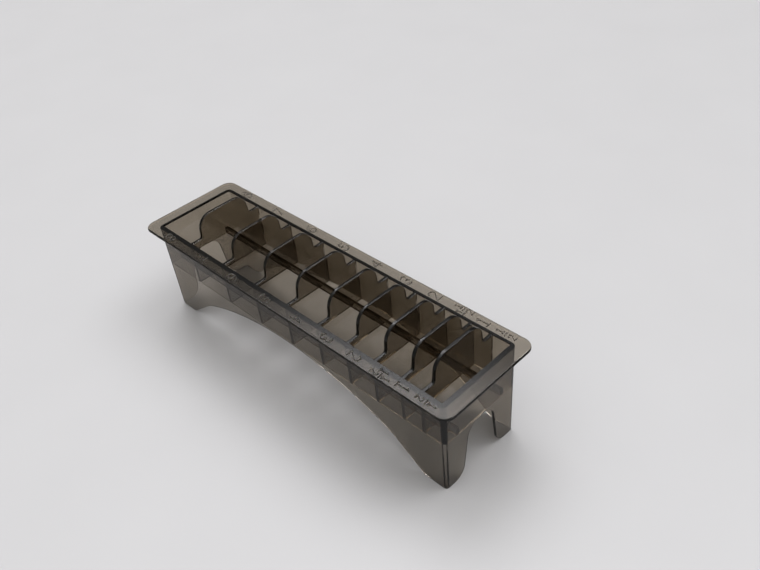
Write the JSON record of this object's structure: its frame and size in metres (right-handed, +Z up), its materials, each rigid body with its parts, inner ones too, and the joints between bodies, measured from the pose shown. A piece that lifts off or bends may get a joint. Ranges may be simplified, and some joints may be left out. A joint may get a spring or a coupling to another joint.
{
  "type": "clipper guard comb tray",
  "caption": "Smoke-clear tray on four legs that stores hair clipper guard combs upright, with one bay per comb size along its length and size figures on the rim.",
  "frame": {"origin": "on the table, under the middle of the tray", "axes": "+X along the tray towards its narrowest bay, +Y from the front long wall to the back one, +Z up"},
  "size_m": [0.2418, 0.0656, 0.0738],
  "materials": {
    "tray_plastic": "clear smoke, gloss",
    "divider_plastic": "clear smoke, gloss",
    "rail_plastic": "clear smoke, gloss",
    "mark_plastic": "raised clear smoke figures"
  },
  "bodies": {
    "root": {"rim_flange": "tray_plastic", "long_wall_front": "tray_plastic", "long_wall_back": "tray_plastic", "end_wall_wide": "tray_plastic", "end_wall_narrow": "tray_plastic", "rail_front": "rail_plastic", "rail_back": "rail_plastic", "divider_8_to_7": "divider_plastic", "divider_7_to_6": "divider_plastic", "divider_6_to_5": "divider_plastic", "divider_5_to_4": "divider_plastic", "divider_4_to_3": "divider_plastic", "divider_3_to_2": "divider_plastic", "divider_2_to_1_half": "divider_plastic", "divider_1_half_to_1": "divider_plastic", "divider_1_to_half": "divider_plastic", "mark_front_8": "mark_plastic", "mark_front_7": "mark_plastic", "mark_front_6": "mark_plastic", "mark_front_5": "mark_plastic", "mark_front_4": "mark_plastic", "mark_front_3": "mark_plastic", "mark_front_2": "mark_plastic", "mark_front_1_half": "mark_plastic", "mark_front_1": "mark_plastic", "mark_front_half": "mark_plastic", "mark_back_8": "mark_plastic", "mark_back_7": "mark_plastic", "mark_back_6": "mark_plastic", "mark_back_5": "mark_plastic", "mark_back_4": "mark_plastic", "mark_back_3": "mark_plastic", "mark_back_2": "mark_plastic", "mark_back_1_half": "mark_plastic", "mark_back_1": "mark_plastic", "mark_back_half": "mark_plastic"}
  },
  "joints": []
}
